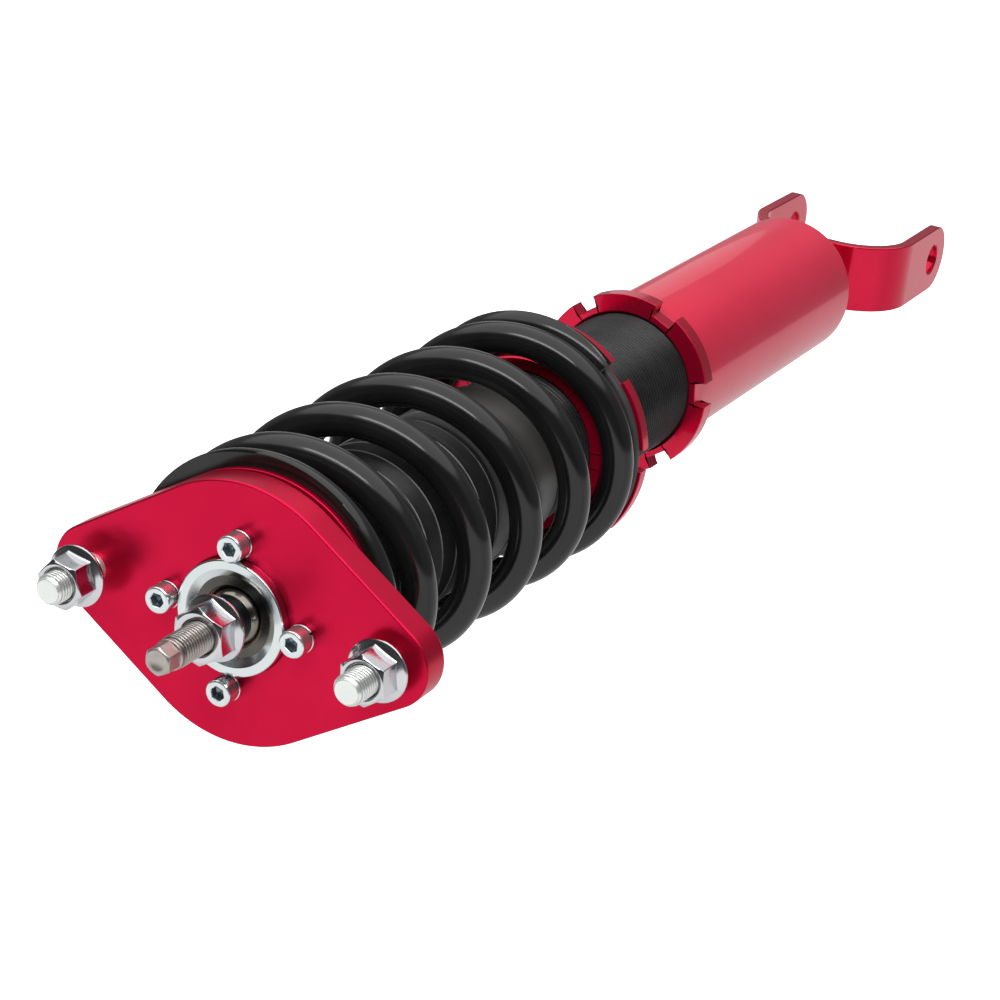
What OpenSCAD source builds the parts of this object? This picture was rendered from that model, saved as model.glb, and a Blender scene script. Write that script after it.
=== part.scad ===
// Coilover strut: a top plate with a spherical bearing, a rod, a coil spring on a threaded body,
// and a lower bracket that ends in a fork. Millimetres.
// Origin: centre of the plate's top face. +Z runs up the rod, +X runs along the line of the studs.

/* [Top plate] */
// radius of the round middle of the plate
plate_r = 41.3; // [38:0.1:48]
// thickness of the plate
plate_t = 10.3; // [7:0.1:14]
// radius of the round ends of the plate, round each stud
lobe_r = 13.5; // [11:0.1:18]
// distance between the two studs
stud_gap = 101.2; // [92:0.1:120]

/* [Studs and nuts] */
// outside radius of the stud thread
stud_r = 4.9; // [3.9:0.1:5.9]
// height of the stud ends above the plate
stud_top = 22.5; // [16:0.5:34]
// underside of the nut on the left stud, above the plate
left_nut_z = 7.2; // [0:0.1:10]
// underside of the nut on the right stud, above the plate
right_nut_z = 4.1; // [0:0.1:10]
// height of a stud nut
stud_nut_h = 10; // [7:0.5:12]
// width of a stud nut across its flats
stud_nut_af = 14; // [12:0.5:17]
// radius of the flange of a stud nut
stud_flange_r = 9.75; // [9:0.05:12]

/* [Cap screws] */
// radius of the circle the four cap screws sit on
screw_ring_r = 23; // [22.6:0.1:23.4]
// radius of a cap screw head
screw_head_r = 4.25; // [3.5:0.05:4.6]
// height of a cap screw head
screw_head_h = 5.2; // [3:0.1:6.5]
// radius of the cap screw thread
screw_r = 2.5; // [2:0.1:3]
// thickness of a split washer
split_t = 1.6; // [1:0.1:2]

/* [Bearing] */
// radius of the bearing housing where it comes up through the plate
housing_r = 18.15; // [17:0.05:18.4]
// height of the housing above the plate
housing_top = 3.4; // [2.6:0.1:5]
// radius of the ball
ball_r = 10.05; // [9:0.05:10.4]
// outside radius of the outer race
race_r = 13; // [12.6:0.1:14]
// height of the outer race
race_h = 9.6; // [8:0.1:9.8]

/* [Rod] */
// radius of the chromed rod
rod_r = 6.25; // [5.6:0.05:9]
// radius of the rod's upper thread
rod_thread_r = 5; // [4:0.05:5.4]
// height of the rod's tip above the plate
rod_top = 40.7; // [34:0.1:60]
// height of the top of the rod nut
rod_nut_top = 20.3; // [17:0.1:24]
// width of the rod nut across its flats
rod_nut_af = 15.9; // [14:0.1:18]
// radius of the rod nut's flange
rod_flange_r = 10.4; // [9.5:0.1:11.6]
// travel of the damper from full reach
stroke = 60; // [40:1:64]

/* [Upper spring seat] */
// gap between the plate and the seat, for the tilt
seat_gap = 2; // [2:0.1:5]
// thickness of the seat's disc
seat_t = 2; // [1.6:0.1:4]
// radius of the seat's disc
seat_r = 41; // [36:0.1:42]

/* [Spring] */
// radius of the spring wire
wire_r = 5.47; // [4:0.01:6]
// mean radius of the coil
coil_r = 39.2; // [37:0.1:44]
// height of the spring between its ground faces
spring_h = 174.5; // [150:0.5:210]
// how far the spring sits to one side, along X
spring_dx = -1.2; // [-1.2:0.1:1.2]
// how far the spring sits to one side, along Y
spring_dy = 1.2; // [-1.2:0.1:1.2]

/* [Threaded body] */
// outside radius of the threaded body
body_r = 26.5; // [24.5:0.1:27]
// top of the body below the plate
body_top = 115; // [110:1:125]
// length of the body
body_len = 215; // [190:1:230]

/* [Spring perch and lock ring] */
// thickness of the rubber pad under the spring
pad_t = 3.5; // [2:0.1:5]
// radius of the perch's notched rim
perch_r = 42.3; // [40:0.1:45]
// thickness of the perch's rim
perch_t = 4.6; // [3:0.1:8]
// radius of the lock ring
ring_r = 33.9; // [31:0.1:38]
// thickness of the lock ring
ring_t = 7; // [5:0.1:10]
// front face of the lock ring below the plate
ring_z = 266; // [262:1:280]

/* [Lower bracket and fork] */
// outside radius of the bracket tube
tube_r = 28.8; // [28.4:0.1:34]
// length of the bracket tube
tube_len = 157; // [140:1:180]
// distance from the tube's end to the fork
neck_h = 27; // [12:0.5:34]
// radius of the neck over the fork
neck_r = 14.5; // [11:0.1:15]
// width of the fork strap
strap_w = 28.5; // [26:0.5:36]
// thickness of the fork strap
strap_t = 4.8; // [4:0.1:8]
// half the width across the fork's outer faces
fork_x = 35.5; // [30:0.1:42]
// distance from the top of the strap down to the fork's bolt hole
fork_drop = 57.5; // [45:0.5:80]
// radius of the fork's bolt hole
fork_bore_r = 6.5; // [5:0.1:8.5]
// how far the ears run on past the bolt hole before they round off
ear_tail = 2.2; // [0:0.1:6]
// radius of the bolt that holds the strap
fork_bolt_r = 5; // [4:0.5:6]

/* [Fits] */
// radial clearance of moving fits
run_gap = 0.05; // [0.02:0.01:0.1]
// radial clearance of fitted pieces
seat_fit = 0.03; // [0.01:0.01:0.1]
// gap between pieces that rest close together
rest_gap = 0.3; // [0.1:0.05:0.5]

/* [Hidden] */
$fn = 72;
stud_x = stud_gap / 2;
flange_r = 28;
spot_t = 0.2;
flange_t = 4;
housing_low = -plate_t;
ball_z = housing_top - 1.8 - race_h / 2;
ball_half = 6.6;
race_top = ball_z + race_h / 2;
race_low = ball_z - race_h / 2;
clip_t = 1.2;
liner_t = 0.8;
liner_in = ball_r + run_gap;
liner_out = liner_in + liner_t;
spacer_r = 7.3;
nut_low = ball_z + ball_half + 7.4;
seat_top = -plate_t - seat_gap;
spring_top = seat_top - seat_t;
spring_low = spring_top - spring_h;
shoulder_z = seat_top - 5.7;
pilot_r = coil_r - wire_r - 2.3;
pad_low = spring_low - pad_t;
perch_top = pad_low - rest_gap;
perch_low = perch_top - perch_t;
body_z = -body_top;
stop_low = body_z + stroke + 0.6;
cup_low = body_z - 40;
body_low = body_z - body_len;
bore_r = body_r - 4;
work_r = bore_r - 2.5;
guide_top = body_z - 6.3;
guide_low = guide_top - 17.7;
piston_top = guide_low - 4;
piston_h = 14;
gas_top = piston_top - piston_h - stroke - 23;
tube_top = -ring_z - ring_t;
tube_low = tube_top - tube_len;
strap_top = tube_low - neck_h;
hole_z = strap_top - fork_drop;
bend_r = fork_x - 8.5;
ear_z = hole_z - ear_tail;

// a ring between two heights
module ring(z0, z1, ro, ri) {
  translate([0, 0, z0])
    difference() {
      cylinder(h = z1 - z0, r = ro);
      translate([0, 0, -1]) cylinder(h = z1 - z0 + 2, r = ri);
    }
}

// a plain disc or rod between two heights
module rod(z0, z1, r) {
  translate([0, 0, z0]) cylinder(h = z1 - z0, r = r);
}

// the plate's outline, a middle disc joined to two end discs by straight sides
// that lie a hair inside the shared tangent
module plate_shape(z0, z1) {
  a = acos((plate_r - lobe_r) / stud_x);
  m = plate_r - 0.02;
  e = lobe_r - 0.02;
  rod(z0, z1, plate_r);
  for (s = [-1, 1])
    translate([s * stud_x, 0, 0]) rod(z0, z1, lobe_r);
  translate([0, 0, z0])
    linear_extrude(z1 - z0)
      polygon([[stud_x + e * cos(a), e * sin(a)], [m * cos(a), m * sin(a)],
               [-m * cos(a), m * sin(a)], [-stud_x - e * cos(a), e * sin(a)],
               [-stud_x - e * cos(a), -e * sin(a)], [-m * cos(a), -m * sin(a)],
               [m * cos(a), -m * sin(a)], [stud_x + e * cos(a), -e * sin(a)]]);
}

// plate with the housing's stepped bore, the screw holes with their spot faces, the stud holes
module top_plate() color([0.72, 0.08, 0.18])
  difference() {
    plate_shape(-plate_t, 0);
    rod(-plate_t - 1, 1, housing_r + seat_fit);
    rod(-plate_t - 1, -plate_t + flange_t, flange_r + 0.2);
    for (a = [0 : 90 : 270]) rotate(a)
      translate([screw_ring_r, 0, 0]) {
        rod(-plate_t - 1, 1, screw_r + 0.25);
        rod(-spot_t, 1, screw_head_r + 0.15);
      }
    for (s = [-1, 1]) translate([s * stud_x, 0, 0]) {
      rod(-plate_t - 1, 1, stud_r + seat_fit);
      rod(-plate_t - 1, -plate_t + 3, 7 + seat_fit);
    }
  }

// housing: sleeve up through the plate, flange let into the plate's underside
module bearing_housing() color([0.75, 0.76, 0.76])
  difference() {
    union() {
      rod(housing_low, housing_top - 0.6, housing_r);
      translate([0, 0, housing_top - 0.6]) cylinder(h = 0.6, r1 = housing_r, r2 = housing_r - 0.6);
      rod(housing_low, housing_low + flange_t, flange_r);
    }
    rod(housing_low - 1, race_top, race_r + seat_fit);
    rod(race_top - 1, housing_top + 1, race_r - 0.3);
    translate([0, 0, housing_top - 1.5]) cylinder(h = 1.6, r1 = race_r - 0.3, r2 = race_r + 2.1);
    rod(race_low - clip_t - 0.15, race_low - 0.05, race_r + 0.9);
    for (a = [0 : 90 : 270]) rotate(a)
      translate([screw_ring_r, 0, 0]) rod(housing_low - 1, 1, screw_r + seat_fit);
  }

// spring clip in the housing's groove, open at one side
module housing_circlip() color([0.2, 0.2, 0.22])
  difference() {
    ring(race_low - clip_t - 0.1, race_low - 0.1, race_r + 0.8, race_r - 1.6);
    translate([0, -20, race_low - 3]) cube([4, 40, 5]);
    translate([-2, 0, race_low - 3]) cube([4, 20, 5]);
  }

// outer race, round inside
module bearing_race() color([0.3, 0.29, 0.28])
  difference() {
    rod(race_low, race_top, race_r);
    translate([0, 0, ball_z]) sphere(r = liner_out + run_gap);
  }

// thin liner between race and ball
module bearing_liner() color([0.35, 0.3, 0.24])
  translate([0, 0, ball_z])
    intersection() {
      difference() {
        sphere(r = liner_out);
        sphere(r = liner_in);
      }
      translate([0, 0, -3.8]) cylinder(h = 7.6, r = 20);
    }

// ball with flat ends and the rod's hole
module bearing_ball() color([0.45, 0.45, 0.46])
  difference() {
    translate([0, 0, ball_z])
      intersection() {
        sphere(r = ball_r);
        translate([0, 0, -ball_half]) cylinder(h = 2 * ball_half, r = 20);
      }
    rod(ball_z - 10, ball_z + 10, rod_thread_r + run_gap);
  }

// spacer from the ball up to the rod nut
module upper_spacer() color([0.25, 0.3, 0.33])
  difference() {
    union() {
      rod(ball_z + ball_half, nut_low - 1, spacer_r);
      translate([0, 0, nut_low - 1]) cylinder(h = 1, r1 = spacer_r, r2 = spacer_r - 0.6);
    }
    rod(0, 20, rod_thread_r + run_gap);
  }

// spacer from the ball down to the spring seat
module lower_spacer() color([0.55, 0.56, 0.57])
  ring(seat_top, ball_z - ball_half, spacer_r, rod_thread_r + run_gap);

// hex nut with a round flange
module flange_nut(z0, h, af, fr, hole) {
  difference() {
    union() {
      rod(z0, z0 + 1.4, fr);
      translate([0, 0, z0 + 1.4]) cylinder(h = 1.2, r1 = fr, r2 = af / 2 + 0.2);
      intersection() {
        translate([0, 0, z0 + 1]) cylinder(h = h - 1, d = af / cos(30), $fn = 6);
        union() {
          rod(z0, z0 + h - 1.2, af);
          translate([0, 0, z0 + h - 1.2]) cylinder(h = 1.2, r1 = af / cos(30) / 2 + 0.3, r2 = af / 2 - 0.5);
        }
      }
    }
    rod(z0 - 1, z0 + h + 1, hole);
    translate([0, 0, z0 + h - 1]) cylinder(h = 1.1, r1 = hole, r2 = hole + 1.1);
  }
}

module rod_nut() color([0.8, 0.81, 0.82])
  rotate(5.3) flange_nut(nut_low, rod_nut_top - nut_low, rod_nut_af, rod_flange_r, rod_thread_r + run_gap);

module stud_nut_left() color([0.8, 0.81, 0.82])
  translate([-stud_x, 0, 0]) rotate(20)
    flange_nut(left_nut_z, stud_nut_h, stud_nut_af, stud_flange_r, stud_r + run_gap);

module stud_nut_right() color([0.8, 0.81, 0.82])
  translate([stud_x, 0, 0]) rotate(8)
    flange_nut(right_nut_z, stud_nut_h, stud_nut_af, stud_flange_r, stud_r + run_gap);

// pressed-in stud, head let in flush with the plate's underside
module stud(x) {
  translate([x, 0, 0]) {
    rod(-plate_t, -plate_t + 3, 7);
    rod(-plate_t + 2, stud_top - 1, stud_r);
    translate([0, 0, stud_top - 1]) cylinder(h = 1, r1 = stud_r, r2 = stud_r - 1);
  }
}

module stud_left() color([0.8, 0.81, 0.8]) stud(-stud_x);

module stud_right() color([0.8, 0.81, 0.8]) stud(stud_x);

// socket head cap screw with a hexagon socket
module cap_screw(i) {
  rotate(90 * i)
    translate([screw_ring_r, 0, 0])
      difference() {
        union() {
          rod(-plate_t + 0.8, split_t + 1, screw_r);
          rod(split_t, split_t + screw_head_h - 0.5, screw_head_r);
          translate([0, 0, split_t + screw_head_h - 0.5])
            cylinder(h = 0.5, r1 = screw_head_r, r2 = screw_head_r - 0.5);
        }
        rotate(15 * i) translate([0, 0, split_t + screw_head_h - 2.6])
          cylinder(h = 4, d = 4 / cos(30), $fn = 6);
      }
}

module cap_screw_1() color([0.78, 0.79, 0.8]) cap_screw(0);

module cap_screw_2() color([0.78, 0.79, 0.8]) cap_screw(1);

module cap_screw_3() color([0.78, 0.79, 0.8]) cap_screw(2);

module cap_screw_4() color([0.78, 0.79, 0.8]) cap_screw(3);

// split washer, cut through at one place
module split_washer(i) {
  rotate(90 * i)
    translate([screw_ring_r, 0, 0])
      difference() {
        ring(-spot_t, split_t, screw_head_r, screw_r + 0.1);
        rotate(40 + 70 * i) translate([0, -0.35, -1]) cube([9, 0.7, 4]);
      }
}

module split_washer_1() color([0.7, 0.71, 0.72]) split_washer(0);

module split_washer_2() color([0.7, 0.71, 0.72]) split_washer(1);

module split_washer_3() color([0.7, 0.71, 0.72]) split_washer(2);

module split_washer_4() color([0.7, 0.71, 0.72]) split_washer(3);

// rod: threaded top with a hexagon tip, shoulder under the seat, threaded foot for the piston
module piston_rod() color([0.7, 0.7, 0.7])
  difference() {
    union() {
      rod(shoulder_z - 1, rod_top - 5.8, rod_thread_r);
      translate([0, 0, rod_top - 6]) cylinder(h = 6, d = 8 / cos(30), $fn = 6);
      rod(piston_top, shoulder_z, rod_r);
      rod(piston_top - piston_h - 9, piston_top + 1, 5);
    }
    translate([0, 0, rod_top - 1.2]) cylinder(h = 1.3, r1 = 0, r2 = 1.3);
  }

// upper spring seat: thin disc, centre boss and a ring that centres the spring
module upper_seat() color([0.72, 0.08, 0.18])
  difference() {
    union() {
      rod(spring_top, seat_top, seat_r);
      rod(shoulder_z, seat_top, 11);
      ring(spring_top - 7.7, seat_top, pilot_r, pilot_r - 3);
    }
    rod(shoulder_z - 1, seat_top + 1, rod_thread_r + run_gap);
  }

// bump stop on the rod, with two waists
module bump_stop() color([0.85, 0.72, 0.3])
  rotate_extrude()
    polygon([[rod_r + run_gap, shoulder_z], [17, shoulder_z], [17, shoulder_z - 9],
             [14, shoulder_z - 12], [16, shoulder_z - 16], [16, shoulder_z - 21],
             [13, shoulder_z - 25], [14.5, shoulder_z - 28], [12, stop_low + 1],
             [9.5, stop_low], [rod_r + run_gap, stop_low]]);

// dust boot: top collar inside the seat's ring, pleats, bottom collar round the body
boot_out = body_r + 3;
boot_in = body_r - 2;
boot_top = spring_top - rest_gap;
fold_top = spring_top - 9.5;
fold_low = body_z + 2;
folds = 10;
fold_p = (fold_top - fold_low) / folds;
module dust_boot() color([0.09, 0.09, 0.1])
  rotate_extrude()
    polygon(concat(
      [[pilot_r - 3.3, boot_top], [pilot_r - 3.3, fold_top]],
      [for (i = [0 : folds - 1], k = [0.5, 1])
        [k == 1 ? (i == folds - 1 ? body_r + 1.6 : boot_in) : boot_out, fold_top - (i + k) * fold_p]],
      [[body_r + 1.6, body_z - 9], [body_r + 0.3, body_z - 9], [body_r + 0.3, fold_low]],
      [for (i = [folds - 1 : -1 : 0], k = [0.5, 0])
        [k == 0 ? boot_in - 1.2 : boot_out - 1.4, fold_top - (i + k) * fold_p]],
      [[pilot_r - 4.6, fold_top], [pilot_r - 4.6, boot_top]]));

// smooth sleeve on the body under the boot
module boot_cup() color([0.08, 0.08, 0.09])
  ring(cup_low, body_z - 9.5, body_r + 1.9, body_r + seat_fit);

// piston on the rod's foot, with flow holes and a band groove
module piston() color([0.6, 0.6, 0.62])
  difference() {
    rod(piston_top - piston_h, piston_top, work_r - 0.4);
    rod(piston_top - 30, piston_top + 1, 5 + seat_fit);
    ring(piston_top - 11, piston_top - 3, work_r + 1, work_r - 1.4);
    for (a = [0 : 60 : 300]) rotate(a)
      translate([11.5, 0, 0]) rod(piston_top - 30, piston_top + 1, 1.6);
  }

module piston_band() color([0.16, 0.2, 0.18])
  ring(piston_top - 10.9, piston_top - 3.1, work_r - run_gap, work_r - 1.35);

module piston_nut() color([0.6, 0.6, 0.6])
  difference() {
    translate([0, 0, piston_top - piston_h - 7]) cylinder(h = 7, d = 15 / cos(30), $fn = 6);
    rod(piston_top - piston_h - 8, piston_top - piston_h + 1, 5 + seat_fit);
  }

// threaded body: an open tube
module threaded_body() color([0.08, 0.08, 0.09])
  ring(body_low, body_z, body_r, bore_r + seat_fit);

// working cylinder inside the body
module cylinder_tube() color([0.5, 0.5, 0.52])
  ring(body_low + 8, guide_top, bore_r, work_r);

// guide for the rod at the top of the cylinder
module rod_guide() color([0.62, 0.6, 0.55])
  difference() {
    rod(guide_low, guide_top, work_r - seat_fit);
    rod(guide_low - 1, guide_top + 1, rod_r + 1.5);
    rod(guide_low - 1, guide_low + 5, rod_r + 5.8);
    ring(guide_low + 9, guide_low + 12, work_r + 1, work_r - 2);
  }

module guide_bush() color([0.6, 0.45, 0.2])
  ring(guide_low + 5.5, guide_top - 0.5, rod_r + 1.5 - seat_fit, rod_r + run_gap);

module rod_seal() color([0.1, 0.1, 0.1])
  ring(guide_low + 0.3, guide_low + 4.9, rod_r + 5.8 - seat_fit, rod_r + run_gap);

// screwed cap that closes the body over the guide
module gland_cap() color([0.12, 0.12, 0.13])
  difference() {
    rod(guide_top, body_z, bore_r);
    rod(guide_top - 1, body_z + 1, rod_r + 4.7);
    for (a = [0 : 90 : 270]) rotate(a)
      translate([16.5, 0, 0]) rod(body_z - 3, body_z + 1, 1.8);
  }

module dust_wiper() color([0.1, 0.1, 0.1])
  ring(guide_top + 0.8, body_z - 0.5, rod_r + 4.7 - seat_fit, rod_r + run_gap);

// plug at the foot of the cylinder, with a small valve pocket
module base_plug() color([0.4, 0.4, 0.42])
  difference() {
    union() {
      rod(body_low, body_low + 8, bore_r);
      rod(body_low, body_low + 14, work_r - seat_fit);
    }
    rod(body_low - 1, body_low + 6, 4);
  }

// free piston that parts the oil from the gas
module gas_piston() color([0.62, 0.62, 0.64])
  difference() {
    rod(gas_top - 14, gas_top, work_r - run_gap);
    ring(gas_top - 9, gas_top - 5, work_r + 1, work_r - 2.3);
    rod(gas_top - 15, gas_top - 5, 12);
  }

module gas_ring() color([0.08, 0.08, 0.08])
  ring(gas_top - 8.9, gas_top - 5.1, work_r - run_gap, work_r - 2.25);

// spring: closed and ground ends, evenly wound between
hand = -1;
ang_mid = 90;
s_top = -0.40;
s_end = 6.11;
close_p = 2 * wire_r;
tip_z = spring_top + 0.5 * wire_r;
foot_z = spring_low - 0.5 * wire_r;
w_a = 0.1;
w_b = 1.35;
w_c = 5.0;
w_d = 5.45;
function smooth(x) = x <= 0 ? 0 : x >= 1 ? 1 : x * x * (3 - 2 * x);
function open_at(s) = smooth((s - w_a) / (w_b - w_a)) * smooth((w_d - s) / (w_d - w_c));
steps = 300;
ds = (s_end - s_top) / steps;
open_sum = [for (i = 0, a = 0; i <= steps; a = a + open_at(s_top + (i + 0.5) * ds) * ds, i = i + 1) a];
open_gain = (tip_z - foot_z - close_p * (s_end - s_top)) / open_sum[steps];
function coil_z(i) = tip_z - close_p * i * ds - open_gain * open_sum[i];
function coil_a(i) = ang_mid + hand * 360 * (s_top + i * ds);
sides = 10;
module coil_spring() color([0.06, 0.06, 0.07])
  translate([spring_dx, spring_dy, 0])
    intersection() {
      polyhedron(
        points = [for (i = [0 : steps], k = [0 : sides - 1])
          [(coil_r + wire_r * cos(360 * k / sides)) * cos(coil_a(i)),
           (coil_r + wire_r * cos(360 * k / sides)) * sin(coil_a(i)),
           coil_z(i) + wire_r * sin(360 * k / sides)]],
        faces = concat(
          [for (i = [0 : steps - 1], k = [0 : sides - 1])
            [i * sides + k, i * sides + (k + 1) % sides,
             (i + 1) * sides + (k + 1) % sides, (i + 1) * sides + k]],
          [[for (k = [sides - 1 : -1 : 0]) k]],
          [[for (k = [0 : sides - 1]) steps * sides + k]]));
      rod(spring_low, spring_top, 60);
    }

module spring_pad() color([0.07, 0.07, 0.07])
  ring(pad_low, spring_low, perch_r - 0.8, pilot_r + 0.3);

// threaded collar under the spring, with a notched rim
module spring_perch() color([0.72, 0.08, 0.18])
  difference() {
    union() {
      rod(perch_low, perch_top, perch_r);
      rod(perch_low - 6, perch_low, pilot_r);
      rod(perch_top, pad_low + 10, pilot_r);
    }
    rod(perch_low - 7, pad_low + 11, body_r + run_gap);
    for (i = [0 : 7]) rotate(2.6 + 45 * i)
      translate([perch_r - 3.5, -3.9, perch_low - 1]) cube([8, 7.8, perch_t + 2]);
  }

// ring that locks the bracket on the body's thread
module lock_ring() color([0.72, 0.08, 0.18])
  difference() {
    ring(-ring_z - ring_t, -ring_z, ring_r, body_r + run_gap);
    for (i = [0 : 5]) rotate(6 + 60 * i)
      translate([ring_r - 4, -4.5, -ring_z - ring_t - 1]) cube([8, 9, ring_t + 2]);
  }

// bracket: deep tube with a closed foot and a neck
module bracket_tube() color([0.72, 0.08, 0.18])
  difference() {
    union() {
      rod(tube_low + 2, tube_top, tube_r);
      translate([0, 0, tube_low]) cylinder(h = 2, r1 = tube_r - 1.2, r2 = tube_r);
      rod(strap_top, tube_low + 1, neck_r);
    }
    rod(tube_low + 8, tube_top + 1, body_r + run_gap);
    rod(strap_top - 1, strap_top + 20, fork_bolt_r + seat_fit);
    for (s = [-1, 1]) translate([0, s * 10, 0]) rod(strap_top - 1, strap_top + 6, 2.5 + seat_fit);
  }

// one bent corner of the fork strap
module strap_bend(s) {
  intersection() {
    translate([s * (fork_x - bend_r), strap_w / 2, strap_top - bend_r]) rotate([90, 0, 0])
      difference() {
        cylinder(h = strap_w, r = bend_r);
        translate([0, 0, -1]) cylinder(h = strap_w + 2, r = bend_r - strap_t);
      }
    translate([s > 0 ? fork_x - bend_r : -fork_x, -strap_w, strap_top - bend_r])
      cube([bend_r, 2 * strap_w, bend_r + 1]);
  }
}

// one ear of the fork, straight below the bend and round at its end
module fork_ear(s) color([0.72, 0.08, 0.18])
  difference() {
    translate([s > 0 ? fork_x - strap_t : -fork_x, 0, 0]) {
      translate([0, -strap_w / 2, ear_z]) cube([strap_t, strap_w, strap_top - bend_r - ear_z]);
      translate([0, 0, ear_z]) rotate([0, 90, 0]) cylinder(h = strap_t, r = strap_w / 2);
    }
    translate([-50, 0, hole_z]) rotate([0, 90, 0]) cylinder(h = 100, r = fork_bore_r);
  }

module fork_ear_left() fork_ear(-1);

module fork_ear_right() fork_ear(1);

// the strap of the fork, flat over the neck and bent down at both ends into the ears
module fork_strap() color([0.72, 0.08, 0.18])
  difference() {
    union() {
      translate([-(fork_x - bend_r), -strap_w / 2, strap_top - strap_t])
        cube([2 * (fork_x - bend_r), strap_w, strap_t]);
      for (s = [-1, 1]) strap_bend(s);
    }
    rod(strap_top - 10, strap_top + 1, fork_bolt_r + seat_fit);
    for (s = [-1, 1]) translate([0, s * 10, 0]) rod(strap_top - 10, strap_top + 1, 2.5 + seat_fit);
  }

module fork_washer() color([0.75, 0.76, 0.77])
  ring(strap_top - strap_t - 2.5, strap_top - strap_t, fork_x - bend_r - 0.1, fork_bolt_r + seat_fit);

// bolt that holds the strap to the bracket's neck
module fork_bolt() color([0.75, 0.76, 0.77]) {
  rod(strap_top - strap_t - 3, strap_top + 19, fork_bolt_r);
  translate([0, 0, strap_top - strap_t - 9]) cylinder(h = 6.5, d = 3.2 * fork_bolt_r / cos(30), $fn = 6);
}

module fork_dowel_left() color([0.6, 0.6, 0.6])
  translate([0, -10, 0]) rod(strap_top - strap_t + 0.2, strap_top + 5.8, 2.5);

module fork_dowel_right() color([0.6, 0.6, 0.6])
  translate([0, 10, 0]) rod(strap_top - strap_t + 0.2, strap_top + 5.8, 2.5);

top_plate();
bearing_housing();
housing_circlip();
bearing_race();
stud_left();
stud_right();
stud_nut_left();
stud_nut_right();
cap_screw_1();
cap_screw_2();
cap_screw_3();
cap_screw_4();
split_washer_1();
split_washer_2();
split_washer_3();
split_washer_4();
bearing_liner();
bearing_ball();
upper_spacer();
lower_spacer();
rod_nut();
piston_rod();
upper_seat();
bump_stop();
dust_boot();
boot_cup();
piston();
piston_band();
piston_nut();
threaded_body();
cylinder_tube();
rod_guide();
guide_bush();
rod_seal();
gland_cap();
dust_wiper();
base_plug();
gas_piston();
gas_ring();
coil_spring();
spring_pad();
spring_perch();
bracket_tube();
lock_ring();
fork_strap();
fork_ear_left();
fork_ear_right();
fork_washer();
fork_bolt();
fork_dowel_left();
fork_dowel_right();
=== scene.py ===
"""Looks of a coilover strut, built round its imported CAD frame.

Metres in the end, millimetres in the sums: every piece is worked out in millimetres in the
record's frame and scaled once, in piece(). +Z runs up the rod, +X along the two studs.
"""

import math

import bmesh
import bpy
import numpy as np
from mathutils import Matrix, Vector


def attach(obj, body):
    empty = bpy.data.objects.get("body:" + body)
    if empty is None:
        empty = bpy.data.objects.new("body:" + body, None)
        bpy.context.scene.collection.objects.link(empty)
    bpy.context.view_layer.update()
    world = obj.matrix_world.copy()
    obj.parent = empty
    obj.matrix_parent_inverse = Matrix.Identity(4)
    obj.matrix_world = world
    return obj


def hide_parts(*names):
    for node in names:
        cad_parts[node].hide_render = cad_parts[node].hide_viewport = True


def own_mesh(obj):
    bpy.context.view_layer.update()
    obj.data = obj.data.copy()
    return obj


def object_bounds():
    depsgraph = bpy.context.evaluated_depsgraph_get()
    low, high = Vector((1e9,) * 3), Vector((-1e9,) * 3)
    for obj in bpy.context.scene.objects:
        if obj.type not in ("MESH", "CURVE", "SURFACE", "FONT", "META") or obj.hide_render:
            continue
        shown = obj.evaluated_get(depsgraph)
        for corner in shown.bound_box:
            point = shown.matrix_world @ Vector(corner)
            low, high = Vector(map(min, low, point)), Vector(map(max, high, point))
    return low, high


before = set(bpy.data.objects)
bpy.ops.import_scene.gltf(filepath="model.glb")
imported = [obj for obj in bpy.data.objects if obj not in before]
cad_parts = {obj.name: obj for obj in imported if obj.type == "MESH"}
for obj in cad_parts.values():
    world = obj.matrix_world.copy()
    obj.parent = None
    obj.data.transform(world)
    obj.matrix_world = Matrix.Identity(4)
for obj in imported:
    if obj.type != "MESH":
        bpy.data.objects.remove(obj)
CAD_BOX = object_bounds()
TAU = 2 * math.pi


# ---------------------------------------------------------------- sizes, millimetres
PLATE_R, LOBE_R, STUD_X, PLATE_T = 41.3, 13.5, 50.6, 10.3
HOUSING_TOP, SCREW_RING_R, SCREW_TOP, WASHER_TOP = 3.4, 23.0, 6.8, 1.65
STUD_R, STUD_TOP, STUD_THREAD, FINE_PITCH = 4.88, 22.5, 0.72, 1.25
NUT_FLATS, NUT_FLANGE_R, ROD_NUT_FLATS, ROD_NUT_FLANGE_R = 14.0, 9.75, 15.9, 10.4
BALL_Z, BALL_R, LINER_OUT_R, LINER_IN_R, RACE_R = -3.2, 10.05, 10.89, 10.11, 10.98
ROD_R, ROD_THREAD_DEPTH, ROD_BORE_R, SHAFT_R = 5.0, 0.74, 5.06, 6.25
SPRING_TOP, SPRING_LOW, SPRING_TURNS = -14.33, -188.8, (-0.40, 6.11)
WIRE_R, COIL_R, COIL_SHIFT = 5.47, 39.2, (-1.2, 1.2)
BOOT_TOP, FIRST_FOLD, LAST_FOLD, BOOT_LOW, FOLDS = -14.7, -23.8, -113.0, -124.0, 10
CREST_R, ROOT_R, CUFF_R, BOOT_WALL = 29.5, 24.5, 28.1, 1.3
BODY_R, BODY_ROOT_R, BODY_BORE_R, BODY_THREAD_DEPTH, BODY_PITCH = 26.48, 25.5, 22.6, 1.0, 2.0
RUN_R = 26.57                    # bore of what slides or screws on the body
COLLAR_R = 31.43                 # collar that stands in the spring's end, on the seat and the perch
SEAT_FACE, PERCH_TOP, PERCH_LOW = -14.3, -192.6, -197.2
LOCK_TOP, LOCK_LOW, TUBE_R, TUBE_LOW, NECK_R = -266.0, -273.0, 28.8, -430.0, 14.5
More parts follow.
